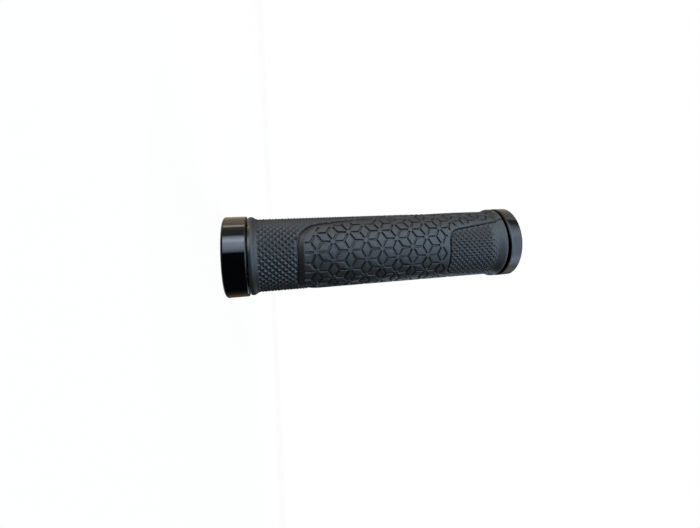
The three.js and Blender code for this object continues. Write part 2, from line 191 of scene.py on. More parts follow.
def edge_distance(across, z, outline):
    """Distance from a round-cornered, flared outline, positive inside it."""
    start, half_width, corner, flare = outline
    tilt = math.atan(flare)
    dx = np.abs(across) - (half_width - corner)
    dz = z - (start + corner)
    along = dx * math.sin(tilt) + dz * math.cos(tilt)
    side = corner - (dx * math.cos(tilt) - dz * math.sin(tilt))
    end = dz + corner
    round_corner = corner - np.hypot(dx, dz)
    straight = np.where(dx > 0, side, np.where(along < 0, end, np.minimum(end, side)))
    return np.where((dx > 0) & (along < 0), round_corner, straight)


def field_distance(across, z):
    """Distance inside the field that the star grooves keep to."""
    in_panel = edge_distance(across, z, PANEL) - FIELD_INSET
    off_window = -edge_distance(across, z, WINDOW) - WINDOW_INSET
    return np.minimum(np.minimum(in_panel, off_window), SLEEVE_END - FLANGE_INSET - z)


def star_centres():
    """Middles of the Y-shaped grooves and the way their single arm points, as (across, z, way)."""
    found = []
    columns = math.ceil((SLEEVE_END - FIRST_STAR) / STAR_PITCH)
    step = 360 / STARS_ROUND
    for column in range(-1, columns + 1):
        shift = 0 if column % 2 == 0 else step / 2
        for row in range(STARS_ROUND):
            angle = (shift + row * step - PANEL_MIDDLE + 180) % 360 - 180
            for way in (1, -1):
                z = FIRST_STAR + (column + way * 2 / 3) * STAR_PITCH
                found.append((angle * MM_PER_DEGREE, z, way))
    return found


def star_grooves():
    """The grooves inside the field, as (across, z, arms that run out from there)."""
    grooves = []
    shares = np.linspace(0, 1, ARM_SAMPLES)
    for cx, cz, way in star_centres():
        arms = []
        for across, up in ((0, -2 * ARM_UP), (ARM_ACROSS, ARM_UP), (-ARM_ACROSS, ARM_UP)):
            length = math.hypot(across, up)
            ax, az = np.array((across, up)) * way * (length - BARE_MIDDLE) / length
            inside = shares[field_distance(cx + shares * ax, cz + shares * az) > GROOVE_MARGIN]
            if len(inside) < 2:
                continue
            near, far = inside[0], inside[-1]
            span = (ax * (far - near), az * (far - near))
            if near == 0 and math.hypot(*span) > SHORTEST_ARM:
                arms.append(span)
            elif near > 0 and math.hypot(*span) > SHORTEST_GROOVE:
                grooves.append((cx + near * ax, cz + near * az, [span]))
        if len(arms) > 1 or arms and math.hypot(*arms[0]) > SHORTEST_GROOVE:
            grooves.append((cx, cz, sorted(arms, key=lambda arm: math.atan2(arm[1], arm[0]))))
    return grooves


def groove_distance(across, z, grooves):
    """Distance from the middle line of the nearest groove."""
    nearest = np.full(across.shape, FAR_AWAY)
    for cx, cz, arms in grooves:
        near = np.nonzero((np.abs(across - cx) < GROOVE_SEARCH) & (np.abs(z - cz) < GROOVE_SEARCH))[0]
        dx = across[near] - cx
        dz = z[near] - cz
        for ax, az in arms:
            along = np.clip((dx * ax + dz * az) / (ax * ax + az * az), 0, 1)
            nearest[near] = np.minimum(nearest[near], np.hypot(dx - along * ax, dz - along * az))
    return nearest


def table_value(x, table):
    return np.interp(x, [t[0] for t in table], [t[1] for t in table])


def knurl_height(across, z):
    """Height of the knurl's blunt pyramids over their valleys."""
    i = across / MM_PER_DEGREE / KNURL_STEP_ANGLE
    j = (z - KNURL_FIRST) / KNURL_STEP_UP
    first = (i + j) / 2
    second = (i - j) / 2
    inner = np.minimum(np.abs(first - np.round(first)), np.abs(second - np.round(second)))
    return KNURL_HEIGHT * np.minimum(1, 2 * inner / (1 - KNURL_BLUNT))


def outer_radius(across, z, grooves):
    """Radius of the sleeve's outer surface."""
    inside = edge_distance(across, z, PANEL)
    window = edge_distance(across, z, WINDOW)
    bead = [(SLEEVE_START, BEAD_END_R), *BEAD]
    body = table_value(z, [*bead, *FLANGE, (SLEEVE_END, LIP_R)])
    window_body = table_value(z, [*bead, *WINDOW_FLANGE, (SLEEVE_END, WINDOW_LIP_R)])

    # Off the panel: the knurl between the bead and the flange
    full_knurl = knurl_height(across, z)
    clear = np.maximum(-inside - KNURL_FROM_PANEL, window - KNURL_FROM_WALL) * KNURL_EDGE_SLOPE
    clear = np.minimum(clear, (KNURL_END - z) * KNURL_END_SLOPE)
    knurl = np.minimum(full_knurl, np.maximum(clear, 0))
    bare = np.where(window > 0, np.minimum(body, window_body) + knurl, body + knurl)
    bare = np.where(window > WINDOW_FLOOR_INSET, np.maximum(window_body, ROOT_R + knurl), bare)
    bare = np.where(z < BEAD[-1][0], np.maximum(body, ROOT_R + full_knurl), bare)
    bare = np.where(z < BEAD[-3][0], body, bare)

    # On the panel: its shoulder and the window's wall, until the flange rises over them
    raised = ROOT_R + np.minimum(table_value(inside, SHOULDER), table_value(-window, WINDOW_WALL))
    fade_start, fade_end = TRENCH_FADE
    trench = TRENCH_DEPTH * np.clip((fade_end - z) / (fade_end - fade_start), 0, 1)
    into_window = np.minimum(0, FLANGE_WALL_SLOPE * (-window - FLANGE_WALL_INSET))
    flange = np.where(z > fade_start, body - trench + into_window, 0)
    on_panel = (inside > SHOULDER[0][0]) & (window < -WINDOW_WALL[0][0])
    surface = np.where(on_panel, np.maximum(raised, flange), bare)

    return surface - table_value(groove_distance(across, z, grooves), GROOVE)


class Plan:
    """Points and edges on the unrolled sleeve, each point kept once."""

    def __init__(self):
        self.points = []
        self.edges = []
        self.index = {}

    def point(self, across, v):
        key = (round(across, PLAN_DIGITS), round(v, PLAN_DIGITS))
        if key not in self.index:
            self.index[key] = len(self.points)
            self.points.append(Vector(key))
        return self.index[key]

    def line(self, points, closed=False):
        """A run of edges through the points, without those that lie outside the sleeve."""
        ids = []
        for across, v in points:
            inside = abs(across) <= HALF_ROUND + PLAN_SLACK and SLEEVE_START <= v <= SLEEVE_END
            ids.append(self.point(across, v) if inside else None)
        if closed:
            ids.append(ids[0])
        for a, b in zip(ids, ids[1:]):
            if a is not None and b is not None and a != b:
                self.edges.append((a, b))


def outline_points(outline, inset):
    """One half of an outline, from its middle to the sleeve's far end."""
    step = OUTLINE_STEP
    start, half_width, corner, flare = outline
    tilt = math.atan(flare)
    centre_across = half_width - corner
    centre_up = start + corner
    radius = corner - inset
    flat = max(2, round(centre_across / step))
    points = [(centre_across * i / flat, start + inset) for i in range(flat)]
    arc = max(4, round(radius * (math.pi / 2 - tilt) / step))
    for i in range(arc + 1):
        turn = -math.pi / 2 + (math.pi / 2 - tilt) * i / arc
        points.append((centre_across + radius * math.cos(turn), centre_up + radius * math.sin(turn)))
    across, up = points[-1]
    while up < SLEEVE_END:
        across += step * math.sin(tilt)
        up += step * math.cos(tilt)
        points.append((across, up))
    return points


def plan_outlines(plan):
    """Lines along the panel's and the window's edges, at each turn of their sections."""
    for outline, insets in ((PANEL, [x for x, _ in SHOULDER]), (WINDOW, [-x for x, _ in WINDOW_WALL])):
        for inset in insets:
            half = outline_points(outline, inset)
            plan.line(half)
            plan.line([(-across, v) for across, v in half])


def seam_columns():
    """Places round the unrolled sleeve where its inner and outer faces meet."""
    return [HALF_ROUND * (2 * i / SEAM_COLUMNS - 1) for i in range(SEAM_COLUMNS + 1)]


def plan_levels(plan):
    """Rings of edges at each height where the section turns."""
    columns = seam_columns()
    heights = sorted({SLEEVE_START, SLEEVE_END, *[z for z, _ in BEAD + FLANGE + WINDOW_FLANGE]})
    for z in heights:
        plan.line([(across, z) for across in columns])
    for side in (columns[0], columns[-1]):
        plan.line([(side, z) for z in heights])


def plan_knurl(plan):
    """The foot, the blunt top and the four edges of each pyramid."""
    half_across = KNURL_STEP_ANGLE * MM_PER_DEGREE
    rows = math.ceil((KNURL_END - KNURL_FIRST) / KNURL_STEP_UP)
    ways = ((1, 0), (0, 1), (-1, 0), (0, -1))
    for j in range(rows + 1):
        for i in range(-SEAM_COLUMNS // 2, SEAM_COLUMNS // 2 + 1):
            if (i + j) % 2 == 0:
                continue
            across, z = i * half_across, KNURL_FIRST + j * KNURL_STEP_UP
            inside = edge_distance(np.array(across), np.array(z), PANEL)
            window = edge_distance(np.array(across), np.array(z), WINDOW)
            if inside > PLAN_MARGIN and window < -PLAN_MARGIN:
                continue
            foot, top = [[(across + dx * half_across * share, z + dz * KNURL_STEP_UP * share)
                          for dx, dz in ways] for share in (1, KNURL_BLUNT)]
            plan.line(foot, closed=True)
            plan.line(top, closed=True)
            for corner, tip in zip(foot, top):
                plan.line([corner, tip])


def half_circle(across, z, radius, facing, start):
    """Points of a half circle that starts a number of half turns from the way it faces."""
    steps = 4
    turns = [facing + math.pi * (i / steps + start) for i in range(steps + 1)]
    return [(across + radius * math.cos(turn), z + radius * math.sin(turn)) for turn in turns]


def plan_grooves(plan, grooves):
    """Lines at each step of the grooves' section."""
    for cx, cz, arms in grooves:
        for offset, _ in GROOVE:
            ring = []
            for arm, following in zip(arms, arms[1:] + arms[:1]):
                facing = math.atan2(arm[1], arm[0])
                ring += half_circle(cx + arm[0], cz + arm[1], offset, facing, -0.5)
                if len(arms) == 1:
                    ring += half_circle(cx, cz, offset, facing, 0.5)
                    continue
                between = (math.atan2(following[1], following[0]) - facing) % (2 * math.pi)
                crotch = offset / math.sin(between / 2)
                middle = facing + between / 2
                ring.append((cx + crotch * math.cos(middle), cz + crotch * math.sin(middle)))
            plan.line(ring, closed=True)


def plan_plateau(plan, grooves):
    """Loose points between the grooves, which keep the panel round."""
    reach = round(180 / PLATEAU_STEP_ANGLE)
    columns = np.arange(-reach, reach + 1) * (PLATEAU_STEP_ANGLE * MM_PER_DEGREE)
    heights = np.arange(PANEL[0] + 1, SLEEVE_END - PLAN_MARGIN, PLATEAU_STEP_UP)
    across, z = [grid.ravel() for grid in np.meshgrid(columns, heights)]
    free = edge_distance(across, z, PANEL) > PLATEAU_FROM_EDGE
    free &= edge_distance(across, z, WINDOW) < -PLATEAU_FROM_WINDOW
    free &= groove_distance(across, z, grooves) > PLATEAU_FROM_GROOVE
    for x, v in zip(across[free], z[free]):
        plan.point(float(x), float(v))


def sleeve_mesh():
    """The sleeve's whole skin: unrolled, triangulated, raised and rolled up."""
    grooves = star_grooves()
    plan = Plan()
    plan_levels(plan)
    plan_outlines(plan)
    plan_knurl(plan)
    plan_grooves(plan, grooves)
    plan_plateau(plan, grooves)
    points, _, faces, _, _, _ = delaunay_2d_cdt(plan.points, plan.edges, [], 1, PLAN_TOLERANCE, False)
    flat = np.array([tuple(point) for point in points])
    across, z = flat[:, 0], flat[:, 1]
    radius = outer_radius(across, z, grooves)
    angle = np.radians(PANEL_MIDDLE + across / MM_PER_DEGREE)
    outside = np.stack([radius * np.sin(angle), -radius * np.cos(angle), z], axis=1)

    bm = bmesh.new()
    verts = [bm.verts.new(place * MM) for place in outside]
    for face in faces:
        bm.faces.new([verts[i] for i in face])

    # The end faces and the bore, as loops from the outer skin's far end to its near end
    columns = np.array(seam_columns()[:-1])
    angles = [PANEL_MIDDLE - 180 + 360 * i / SEAM_COLUMNS for i in range(SEAM_COLUMNS)]
    mouth = SLEEVE_IN_R + MOUTH_CHAMFER
    section = [(None, SLEEVE_END), (mouth, SLEEVE_END), (SLEEVE_IN_R, SLEEVE_END - MOUTH_CHAMFER),
               (SLEEVE_IN_R, SLEEVE_START + MOUTH_CHAMFER), (mouth, SLEEVE_START), (None, SLEEVE_START)]
    loops = []
    for loop_radius, height in section:
        if loop_radius is None:
            radii = outer_radius(columns, np.full(SEAM_COLUMNS, height), grooves)
        else:
            radii = [loop_radius] * SEAM_COLUMNS
        loops.append([bm.verts.new(on_grip(a, r, height) * MM) for a, r in zip(angles, radii)])
    for low, high in zip(loops, loops[1:]):
        for i in range(SEAM_COLUMNS):
            k = (i + 1) % SEAM_COLUMNS
            bm.faces.new([low[i], low[k], high[k], high[i]])
    bmesh.ops.remove_doubles(bm, verts=bm.verts, dist=SEAM_WELD)
    bmesh.ops.holes_fill(bm, edges=[edge for edge in bm.edges if edge.is_boundary], sides=4)
    return bm


# Turned and cut pieces

def fillet(points, index, radius, steps=4):
    """The points that round one corner of a closed outline."""
    before, corner, after = [Vector(points[(index + k) % len(points)]) for k in (-1, 0, 1)]
    back = (before - corner).normalized()
    ahead = (after - corner).normalized()
    half = back.angle(ahead) / 2
    reach = radius / math.tan(half)
    centre = corner + (back + ahead).normalized() * radius / math.sin(half)
    first = corner + back * reach - centre
    last = corner + ahead * reach - centre
    turn = first.angle_signed(last)
    rounded = []
    for i in range(steps + 1):
        rounded.append(tuple(centre + Matrix.Rotation(-turn * i / steps, 2) @ first))
    return rounded


def softened(points, radii):
    """A closed outline with each corner rounded by its own radius."""
    outline = []
    for i, (point, radius) in enumerate(zip(points, radii)):
        outline += fillet(points, i, radius) if radius else [point]
    return outline


def turned(profile, segments):
    """A closed (radius, z) outline turned round the z axis, also one that runs along the axis."""
    bm = bmesh.new()
    rings = []
    for i in range(segments):
        rings.append([bm.verts.new(on_grip(360 * i / segments, r, z) * MM) for r, z in profile])
    for i, ring in enumerate(rings):
        following = rings[(i + 1) % segments]
        for k in range(len(profile)):
            n = (k + 1) % len(profile)
            bm.faces.new([ring[k], following[k], following[n], ring[n]])
    bmesh.ops.remove_doubles(bm, verts=bm.verts, dist=AXIS_WELD)
    bmesh.ops.delete(bm, geom=[edge for edge in bm.edges if not edge.link_faces], context="EDGES")
    bmesh.ops.recalc_face_normals(bm, faces=bm.faces)
    return bm


def prism(outline, z_low, z_high, matrix=Matrix.Identity(4)):
    """An upright prism over an outline of (x, y) points, moved by a matrix."""
    bm = bmesh.new()
    low = [bm.verts.new(matrix @ (Vector((x, y, z_low)) * MM)) for x, y in outline]
    high = [bm.verts.new(matrix @ (Vector((x, y, z_high)) * MM)) for x, y in outline]
    bm.faces.new(low[::-1])
    bm.faces.new(high)
    for i in range(len(outline)):
        k = (i + 1) % len(outline)
        bm.faces.new([low[i], low[k], high[k], high[i]])
    bmesh.ops.recalc_face_normals(bm, faces=bm.faces)
    return bm


def circle(radius, segments):
    turns = [math.tau * i / segments for i in range(segments)]
    return [(radius * math.cos(turn), radius * math.sin(turn)) for turn in turns]


def sector(start, end, in_r, out_r):
    """Outline of a sector of a ring, as (x, y) points."""
    steps = 24
    angles = [start + (end - start) * i / steps for i in range(steps + 1)]
    outer = [on_grip(a, out_r, 0).xy for a in angles]
    inner = [on_grip(a, in_r, 0).xy for a in reversed(angles)]
    return [tuple(p) for p in outer + inner]


def object_from(name, bm):
    mesh = bpy.data.meshes.new(name)
    bm.to_mesh(mesh)
    bm.free()
    obj = bpy.data.objects.new(name, mesh)
    bpy.context.scene.collection.objects.link(obj)
    return obj


def cut(obj, cutters):
    """Takes the cutters away from the object, one after another."""
    for bm in cutters:
        tool = object_from("cutter", bm)
        modifier = obj.modifiers.new("cut", "BOOLEAN")
        modifier.operation = "DIFFERENCE"
        modifier.solver = "EXACT"
        modifier.object = tool
        evaluated = obj.evaluated_get(bpy.context.evaluated_depsgraph_get())
        mesh = bpy.data.meshes.new_from_object(evaluated)
        welded = bmesh.new()
        welded.from_mesh(mesh)
        bmesh.ops.remove_doubles(welded, verts=welded.verts, dist=CUT_WELD)
        welded.to_mesh(mesh)
        welded.free()
        obj.modifiers.clear()
        obj.data = mesh
        bpy.data.objects.remove(tool)


def dog_angles():
    spacing = 360 / (DOG_COUNT + 1)
    return [SPLIT_ANGLE + spacing * (i + 1) for i in range(DOG_COUNT)]


def bolt_matrix(z_middle):
    """The bolt's own frame: +Z runs from the head's seat along the shank."""
    turn = math.radians(SPLIT_ANGLE)
    tangent = Vector((math.cos(turn), math.sin(turn), 0))
    seat = on_grip(SPLIT_ANGLE, BOLT_FROM_AXIS, z_middle) + tangent * HEAD_SEAT_FROM_SPLIT
    along = -tangent
    up = Vector((0, 0, 1))
    side = up.cross(along)
    basis = Matrix((side, up, along)).transposed().to_4x4()
    return Matrix.Translation(seat * MM) @ basis


def clamp_ring(name, z_low, width, sleeve_above):
    """A split ring with pockets for the core's dogs on the side where the sleeve is."""
    z_high = z_low + width
    if sleeve_above:
        mouths = (RING_MOUTH, RING_BLIND_MOUTH)
        bevels = (RING_BEVEL, RING_SLEEVE_BEVEL)
        pocket = (z_high - DOG_LENGTH - END_GAP, z_high + CUT_OVERLAP)
    else:
        mouths = (RING_BLIND_MOUTH, RING_MOUTH)
        bevels = (RING_SLEEVE_BEVEL, RING_SLEEVE_BEVEL)
        pocket = (z_low - CUT_OVERLAP, z_low + DOG_LENGTH + END_GAP)
    corners = [
        (RING_BORE_R + mouths[0], z_low), (RING_R - bevels[0], z_low), (RING_R, z_low + bevels[0]),
        (RING_R, z_high - bevels[1]), (RING_R - bevels[1], z_high), (RING_BORE_R + mouths[1], z_high),
        (RING_BORE_R, z_high - mouths[1]), (RING_BORE_R, z_low + mouths[0]),
    ]
    softness = [0, RING_FACE_SOFTNESS, RING_RIM_SOFTNESS, RING_RIM_SOFTNESS, RING_FACE_SOFTNESS, 0, 0, 0]
    ring = object_from(name, turned(softened(corners, softness), RING_SEGMENTS))

    half_arc = DOG_ARC / 2 + DOG_SIDE_GAP
    cutters = []
    for angle in dog_angles():
        room = sector(angle - half_arc, angle + half_arc, RING_BORE_R - CUT_OVERLAP, CORE_OUT_R + SEAT_GAP)
        cutters.append(prism(room, *pocket))
    near, far = SPLIT_REACH
    half = SPLIT_WIDTH / 2
    slit = [(-half, -far), (half, -far), (half, -near), (-half, -near)]
    turn = Matrix.Rotation(math.radians(SPLIT_ANGLE), 4, "Z")
    cutters.append(prism(slit, z_low - CUT_OVERLAP, z_high + CUT_OVERLAP, turn))
    seat = bolt_matrix(z_low + width / 2)
    shank = circle(BOLT_R + SEAT_GAP, HOLE_SEGMENTS)
    cutters.append(prism(shank, -BOLT_HOLE_EXTRA, BOLT_LENGTH + BOLT_HOLE_EXTRA, seat))
    cutters.append(prism(circle(HEAD_R + SEAT_GAP, BOLT_SEGMENTS), -RING_R, 0, seat))
    cut(ring, cutters)
    return ring


def clamp_bolt(name, z_middle):
    profile = [(0, -HEAD_HEIGHT), (HEAD_R, -HEAD_HEIGHT), (HEAD_R, 0), (BOLT_R, 0), (BOLT_R, BOLT_LENGTH),
               (0, BOLT_LENGTH)]
    softness = [0, HEAD_EDGE, UNDER_HEAD_EDGE, UNDER_HEAD_EDGE, TIP_EDGE, 0]
    bolt = object_from(name, turned(softened(profile, softness), BOLT_SEGMENTS))
    hexagon = circle(HEX_ACROSS / math.sqrt(3), 6)
    cut(bolt, [prism(hexagon, -HEAD_HEIGHT - CUT_OVERLAP, -HEAD_HEIGHT + HEX_DEPTH)])
    bolt.data.transform(bolt_matrix(z_middle) @ Matrix.Translation((0, 0, -END_GAP * MM)))
    return bolt


def core_tube(name):
    low = WIDE_RING_WIDTH + END_GAP
    high = GRIP_LENGTH - NARROW_RING_WIDTH - END_GAP
    corners = [(CORE_IN_R, low - DOG_LENGTH), (CORE_OUT_R, low - DOG_LENGTH),
               (CORE_OUT_R, high + DOG_LENGTH), (CORE_IN_R, high + DOG_LENGTH)]
    tube = object_from(name, turned(softened(corners, [CORE_EDGE] * 4), TUBE_SEGMENTS))
    angles = dog_angles()
    cutters = []
    for angle, following in zip(angles, angles[1:] + [angles[0] + 360]):
        gap = sector(angle + DOG_ARC / 2, following - DOG_ARC / 2,
                     CORE_IN_R - CUT_OVERLAP, CORE_OUT_R + CUT_OVERLAP)
        cutters.append(prism(gap, low - DOG_LENGTH - CUT_OVERLAP, low))
        cutters.append(prism(gap, high, high + DOG_LENGTH + CUT_OVERLAP))
    cut(tube, cutters)
    return tube


# Materials

def material(name):
    made = bpy.data.materials.new(name)
    made.use_nodes = True
    return made, made.node_tree, made.node_tree.nodes["Principled BSDF"]


def noise(tree, scale, detail, stretch=(1, 1, 1), roughness=0.5):
    """Noise in the object's own metres."""
    place = tree.nodes.new("ShaderNodeTexCoord")
    mapping = tree.nodes.new("ShaderNodeMapping")
    mapping.inputs["Scale"].default_value = stretch
    texture = tree.nodes.new("ShaderNodeTexNoise")
    texture.inputs["Scale"].default_value = scale
    texture.inputs["Detail"].default_value = detail
    texture.inputs["Roughness"].default_value = roughness
    tree.links.new(place.outputs["Object"], mapping.inputs["Vector"])
    tree.links.new(mapping.outputs["Vector"], texture.inputs["Vector"])
    return texture.outputs["Fac"]


def ramp(tree, source, stops):
    """Colours or greys along a value, as (place, colour)."""
    node = tree.nodes.new("ShaderNodeValToRGB")
    elements = node.color_ramp.elements
    while len(elements) < len(stops):
        elements.new(0.5)
    for element, (place, colour) in zip(elements, stops):
        element.position = place
        element.color = (*colour, 1) if isinstance(colour, tuple) else (colour, colour, colour, 1)
    tree.links.new(source, node.inputs["Fac"])
    return node.outputs["Color"]


def mixed(tree, factor, first, second):
    node = tree.nodes.new("ShaderNodeMix")
    node.data_type = "RGBA"
    tree.links.new(factor, node.inputs["Factor"])
    tree.links.new(first, node.inputs["A"])
    tree.links.new(second, node.inputs["B"])
    return node.outputs["Result"]


def bump(tree, height, strength, distance):
    node = tree.nodes.new("ShaderNodeBump")
    node.inputs["Strength"].default_value = strength
    node.inputs["Distance"].default_value = distance
    tree.links.new(height, node.inputs["Height"])
    return node.outputs["Normal"]


def rubber_material():
    """Dull black rubber, with a painted highlight along its raised edges."""
    made, tree, shader = material("rubber")
    blotches = noise(tree, 60, 5)
    grain = noise(tree, 5200, 3, roughness=0.7)
    tone = ramp(tree, blotches, [(0.3, (0.027, 0.028, 0.029)), (0.7, (0.034, 0.035, 0.036))])
    # Painted highlight: a paler colour that the rubber takes along its raised edges
    painted_edge_highlight = ramp(tree, grain, [(0.3, (0.060, 0.062, 0.064)), (0.7, (0.085, 0.087, 0.09))])
    geometry = tree.nodes.new("ShaderNodeNewGeometry")
    # Where the painted edge highlight goes: the pointy, convex edges of the surface
    edges = ramp(tree, geometry.outputs["Pointiness"], [(0.52, 0.0), (0.62, 0.6)])
    tree.links.new(mixed(tree, edges, tone, painted_edge_highlight), shader.inputs["Base Color"])
    tree.links.new(ramp(tree, blotches, [(0.3, 0.38), (0.7, 0.47)]), shader.inputs["Roughness"])
    tree.links.new(bump(tree, grain, 0.35, 0.00006), shader.inputs["Normal"])
    shader.inputs["Specular IOR Level"].default_value = 0.5
    return made


def ring_material():
    made, tree, shader = material("anodised_ring")
    lathe_marks = noise(tree, 900, 2, stretch=(0.05, 0.05, 6))
    scuffs = noise(tree, 240, 6, roughness=0.65)
    tone = ramp(tree, scuffs, [(0.35, (0.042, 0.043, 0.045)), (0.75, (0.051, 0.052, 0.055))])
    tree.links.new(tone, shader.inputs["Base Color"])
    shader.inputs["Metallic"].default_value = 1.0
    tree.links.new(ramp(tree, scuffs, [(0.35, 0.07), (0.8, 0.16)]), shader.inputs["Roughness"])
    tree.links.new(bump(tree, lathe_marks, 0.06, 0.00002), shader.inputs["Normal"])
    return made


def core_material():
    made, tree, shader = material("core_plastic")
    blotches = noise(tree, 90, 4)
    grain = noise(tree, 3000, 3)
    tone = ramp(tree, blotches, [(0.3, (0.010, 0.010, 0.011)), (0.7, (0.016, 0.016, 0.017))])
    tree.links.new(tone, shader.inputs["Base Color"])
    tree.links.new(ramp(tree, blotches, [(0.3, 0.42), (0.7, 0.55)]), shader.inputs["Roughness"])
    tree.links.new(bump(tree, grain, 0.2, 0.00004), shader.inputs["Normal"])
    return made


def bolt_material():
    made, tree, shader = material("bolt_steel")
    blotches = noise(tree, 700, 5)
    grain = noise(tree, 6000, 3)
    tone = ramp(tree, blotches, [(0.35, (0.045, 0.045, 0.05)), (0.75, (0.085, 0.085, 0.09))])
    tree.links.new(tone, shader.inputs["Base Color"])
    shader.inputs["Metallic"].default_value = 1.0
    tree.links.new(ramp(tree, blotches, [(0.3, 0.28), (0.7, 0.42)]), shader.inputs["Roughness"])
    tree.links.new(bump(tree, grain, 0.15, 0.00003), shader.inputs["Normal"])
    return made


def dress(obj, finish, node):
    """Gives a piece its finish and smooth faces, and puts it in its node's place."""
    obj.data.materials.clear()
    obj.data.materials.append(finish)
    obj.data.shade_smooth()
    obj.data.set_sharp_from_angle(angle=math.radians(SHARP_ANGLE))
    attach(obj, "root")
    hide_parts(node)


# Studio

MIDDLE = Vector((0, 0, GRIP_LENGTH / 2 * MM))
PICTURE_SIZE = (700, 528)
FOCAL_LENGTH_IN_PIXELS = 386.85
PICTURE_CENTRE = (392.81, 232.61)
SENSOR_WIDTH = 36
CAMERA_PLACE = (0, -171.46, 19.79)
CAMERA_TURN = (-8.53, -107.11, 101.28)
CARD_HEIGHT = 0.15
# Glow strengths of the painted reflections, which are seen only on glossy faces
ROOM_REFLECTION_GLOW = 5
RING_REFLECTION_GLOW = 7.2
CARD_COLUMNS = 96


def area_light(name, place, size, radiance, colour):
    """A rectangular panel light that shows the given radiance and faces the grip's middle."""
    light = bpy.data.lights.new(name, "AREA")
    light.shape = "RECTANGLE"
    light.size, light.size_y = size
    light.energy = radiance * math.pi * size[0] * size[1]
    light.color = colour
    obj = bpy.data.objects.new(name, light)
    bpy.context.scene.collection.objects.link(obj)
    obj.visible_glossy = False
    obj.location = place
    obj.rotation_euler = (MIDDLE - place).to_track_quat("-Z", "Y").to_euler()


def add_camera():
    """A pinhole camera turned by a quarter, so that the upright grip lies across the picture."""
    width, height = PICTURE_SIZE
    camera = bpy.data.cameras.new("camera")
    camera.sensor_width = SENSOR_WIDTH
    camera.lens = FOCAL_LENGTH_IN_PIXELS * SENSOR_WIDTH / width
    camera.shift_x = (width / 2 - PICTURE_CENTRE[0]) / width
    camera.shift_y = (PICTURE_CENTRE[1] - height / 2) / width
    camera.clip_start = 0.005
    camera.clip_end = 50
    obj = bpy.data.objects.new("camera", camera)
    bpy.context.scene.collection.objects.link(obj)
    turn = Euler([math.radians(angle) for angle in CAMERA_TURN]).to_matrix().to_4x4()
    obj.matrix_world = Matrix.Translation(Vector(CAMERA_PLACE) * MM) @ turn
    bpy.context.scene.camera = obj


def seen_rays(tree):
    """One for rays from the camera, a mirror or glass, and nought for the light on surfaces."""
    path = tree.nodes.new("ShaderNodeLightPath")
    seen = path.outputs["Is Camera Ray"]
    for ray in ("Is Glossy Ray", "Is Transmission Ray"):
        either = tree.nodes.new("ShaderNodeMath")
        either.operation = "MAXIMUM"
        tree.links.new(seen, either.inputs[0])
        tree.links.new(path.outputs[ray], either.inputs[1])
        seen = either.outputs[0]
    return seen


def add_world():
    """White where it is seen or mirrored, and a plain soft light elsewhere."""
    world = bpy.data.worlds.new("studio")
    world.use_nodes = True
    tree = world.node_tree
    tree.nodes.clear()
    soft = tree.nodes.new("ShaderNodeBackground")
    soft.inputs["Color"].default_value = (1.0, 1.0, 0.97, 1)
    soft.inputs["Strength"].default_value = 0.15
    white = tree.nodes.new("ShaderNodeBackground")
    white.inputs["Color"].default_value = (1, 1, 1, 1)
    white.inputs["Strength"].default_value = 1.0
    mix = tree.nodes.new("ShaderNodeMixShader")
    output = tree.nodes.new("ShaderNodeOutputWorld")
    tree.links.new(seen_rays(tree), mix.inputs["Fac"])
    tree.links.new(soft.outputs[0], mix.inputs[1])
    tree.links.new(white.outputs[0], mix.inputs[2])
    tree.links.new(mix.outputs[0], output.inputs["Surface"])
    bpy.context.scene.world = world


def add_floor():
    """A pale floor, mostly white where the camera sees it, that keeps a soft shadow."""
    bm = bmesh.new()
    bmesh.ops.create_grid(bm, x_segments=1, y_segments=1, size=4)
    floor = object_from("floor", bm)
    made, tree, shader = material("floor")
    shader.inputs["Base Color"].default_value = (0.5, 0.5, 0.49, 1)
    shader.inputs["Roughness"].default_value = 0.9
    glow = tree.nodes.new("ShaderNodeEmission")
    glow.inputs["Color"].default_value = (1, 1, 1, 1)
    glow.inputs["Strength"].default_value = 1.18
    share = tree.nodes.new("ShaderNodeMath")
    share.operation = "MULTIPLY"
    share.inputs[1].default_value = 0.8
    mix = tree.nodes.new("ShaderNodeMixShader")
    output = tree.nodes["Material Output"]
    tree.links.new(seen_rays(tree), share.inputs[0])
    tree.links.new(share.outputs[0], mix.inputs["Fac"])
    tree.links.new(shader.outputs[0], mix.inputs[1])
    tree.links.new(glow.outputs[0], mix.inputs[2])
    tree.links.new(mix.outputs[0], output.inputs["Surface"])
    floor.data.materials.append(made)


def look_from(across, up, distance):
    """A place in front of the grip: across is the turn from -Y towards +X, up the turn towards +Z."""
    a, b = math.radians(across), math.radians(up)
    way = Vector((math.sin(a) * math.cos(b), -math.cos(a) * math.cos(b), math.sin(b)))
    return way * distance + MIDDLE


def add_lights():
    window = (0.78, 0.88, 1.0)
    bounce = (1.0, 0.82, 0.66)
    area_light("window", look_from(-34, 26, 0.8), (0.4, 0.5), 3.6, window)
    area_light("ceiling", look_from(-100, 20, 0.9), (0.6, 0.6), 0.8, bounce)
    area_light("back_window", look_from(165, 30, 0.9), (0.5, 0.6), 3.2, window)


